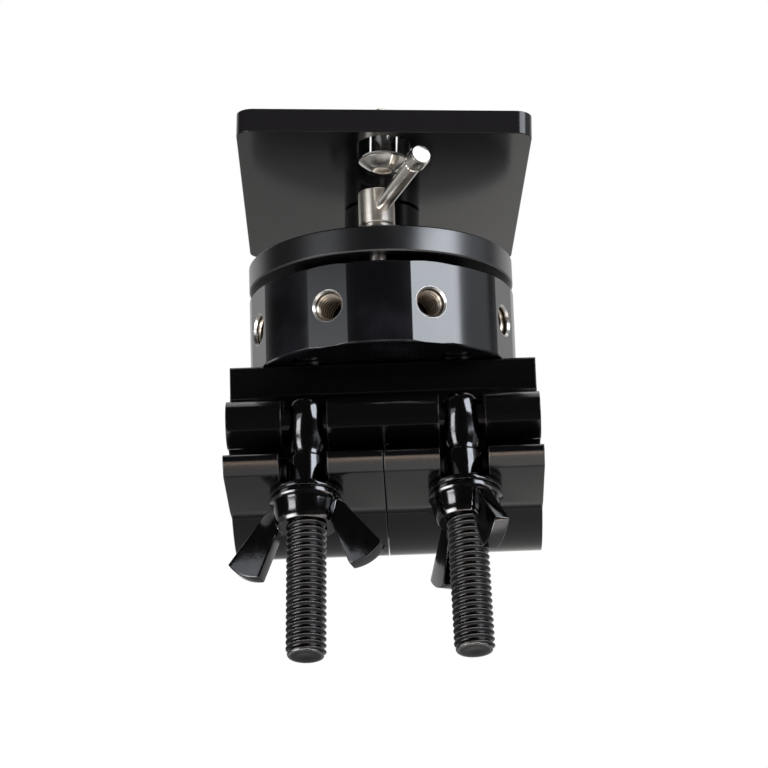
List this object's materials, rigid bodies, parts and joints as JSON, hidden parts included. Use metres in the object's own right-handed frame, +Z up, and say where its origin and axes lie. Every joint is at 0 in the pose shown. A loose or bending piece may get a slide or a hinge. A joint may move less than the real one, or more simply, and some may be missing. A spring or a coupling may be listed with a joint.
{
  "type": "leveling base",
  "caption": "Camera leveling base: slotted camera plate on a lockable ball in a drum with tapped flats, on a double pipe clamp with swing bolts and wing nuts",
  "frame": {"origin": "On the axis of the gripped pipe, midway along the clamp", "axes": "X along the pipe, -Y the front with the wing nuts and the lock lever, +Z up through the drum"},
  "size_m": [0.1007, 0.1298, 0.1773],
  "materials": {
    "gloss_black_aluminium": "gloss black",
    "satin_black_aluminium": "satin black, brushed",
    "black_plated_steel": "gloss black plating",
    "black_oxide_steel": "black oxide",
    "stainless_steel": "turned",
    "bright_steel": "polished",
    "white_plastic": "matt"
  },
  "bodies": {
    "clamp_and_drum": {"pipe_clamp_body": "gloss_black_aluminium", "eye_bolt_pin": "black_oxide_steel", "jaw_hinge_pin": "black_oxide_steel", "clamp_bolt_left": "black_oxide_steel", "clamp_bolt_right": "black_oxide_steel", "drum": "satin_black_aluminium", "clamp_ring": "satin_black_aluminium", "ring_screw_1": "black_oxide_steel", "ring_screw_2": "black_oxide_steel", "ring_screw_3": "black_oxide_steel", "ring_screw_4": "black_oxide_steel"},
    "lock_lever": {"lock_lever_hub": "stainless_steel", "lock_lever_arm": "stainless_steel", "lock_screw": "stainless_steel", "lock_collar": "stainless_steel"},
    "cup": {"ball_cup_liner": "white_plastic"},
    "ball": {"ball": "black_oxide_steel"},
    "head": {"column": "satin_black_aluminium", "column_bolt": "black_oxide_steel", "camera_plate": "satin_black_aluminium", "plate_screw_1": "black_oxide_steel", "plate_screw_2": "black_oxide_steel", "plate_screw_3": "black_oxide_steel", "plate_screw_4": "black_oxide_steel"},
    "screw_washer": {"camera_screw_washer": "white_plastic"},
    "camera_screw": {"camera_screw": "bright_steel"},
    "jaw_left": {"clamp_jaw_left": "gloss_black_aluminium"},
    "bolt_left": {"eye_bolt_left": "black_plated_steel"},
    "washer_left": {"nut_washer_left": "black_plated_steel"},
    "nut_left": {"wing_nut_left": "black_plated_steel"},
    "jaw_right": {"clamp_jaw_right": "gloss_black_aluminium"},
    "bolt_right": {"eye_bolt_right": "black_plated_steel"},
    "washer_right": {"nut_washer_right": "black_plated_steel"},
    "nut_right": {"wing_nut_right": "black_plated_steel"}
  },
  "joints": [
    {"name": "tilt_front_back", "type": "hinge", "parent": "clamp_and_drum", "child": "cup", "pos_m": [0, 0, 0.0555], "axis": [1, 0, 0], "range_deg": [-10, 2]},
    {"name": "tilt_side", "type": "hinge", "parent": "cup", "child": "ball", "pos_m": [0, 0, 0.0555], "axis": [0, 1, 0], "range_deg": [-10, 1.5]},
    {"name": "pan", "type": "hinge", "parent": "ball", "child": "head", "pos_m": [0, 0, 0.0555], "axis": [0.0349, 0, 0.9994], "continuous": true},
    {"name": "lock_lever_turn", "type": "hinge", "parent": "clamp_and_drum", "child": "lock_lever", "pos_m": [0, -0.038, 0.06925], "axis": [0, 0, 1], "range_deg": [0, 100]},
    {"name": "camera_screw_slide", "type": "slide", "parent": "head", "child": "screw_washer", "axis": [-0.0349, 0.9994, 0.0012], "range_m": [-0.0092, 0.0212]},
    {"name": "camera_screw_turn", "type": "hinge", "parent": "screw_washer", "child": "camera_screw", "pos_m": [0.0031, -0.05527, 0.08891], "axis": [0.0349, 0, 0.9994], "continuous": true},
    {"name": "jaw_left_hinge", "type": "hinge", "parent": "clamp_and_drum", "child": "jaw_left", "pos_m": [-0.02515, 0.035, 0], "axis": [1, 0, 0], "range_deg": [0, 18]},
    {"name": "eye_bolt_left_swing", "type": "hinge", "parent": "clamp_and_drum", "child": "bolt_left", "pos_m": [-0.02445, -0.036, 0.006], "axis": [-1, 0, 0], "range_deg": [0, 64]},
    {"name": "washer_left_slide", "type": "slide", "parent": "bolt_left", "child": "washer_left", "axis": [-0.0154, -0.2079, -0.978], "range_m": [0, 0.042]},
    {"name": "wing_nut_left_turn", "type": "hinge", "parent": "washer_left", "child": "nut_left", "pos_m": [-0.02487, -0.04163, -0.0205], "axis": [-0.0154, -0.2079, -0.978], "range_deg": [0, 7142.4]},
    {"name": "jaw_right_hinge", "type": "hinge", "parent": "clamp_and_drum", "child": "jaw_right", "pos_m": [0.02515, 0.035, 0], "axis": [1, 0, 0], "range_deg": [0, 18]},
    {"name": "eye_bolt_right_swing", "type": "hinge", "parent": "clamp_and_drum", "child": "bolt_right", "pos_m": [0.0248, -0.036, 0.006], "axis": [-1, 0, 0], "range_deg": [0, 64]},
    {"name": "washer_right_slide", "type": "slide", "parent": "bolt_right", "child": "washer_right", "axis": [0.0162, -0.2079, -0.978], "range_m": [0, 0.042]},
    {"name": "wing_nut_right_turn", "type": "hinge", "parent": "washer_right", "child": "nut_right", "pos_m": [0.02524, -0.04163, -0.0205], "axis": [0.0162, -0.2079, -0.978], "range_deg": [0, 7142.4]}
  ],
  "couplings": [
    {"joint": "washer_left_slide", "follows": "wing_nut_left_turn", "m_per_rad": 0.00033693},
    {"joint": "eye_bolt_left_swing", "follows": "wing_nut_left_turn", "ratio": 0.0089605},
    {"joint": "jaw_left_hinge", "follows": "wing_nut_left_turn", "ratio": 0.0025201},
    {"joint": "washer_right_slide", "follows": "wing_nut_right_turn", "m_per_rad": 0.00033693},
    {"joint": "eye_bolt_right_swing", "follows": "wing_nut_right_turn", "ratio": 0.0089605},
    {"joint": "jaw_right_hinge", "follows": "wing_nut_right_turn", "ratio": 0.0025201}
  ]
}
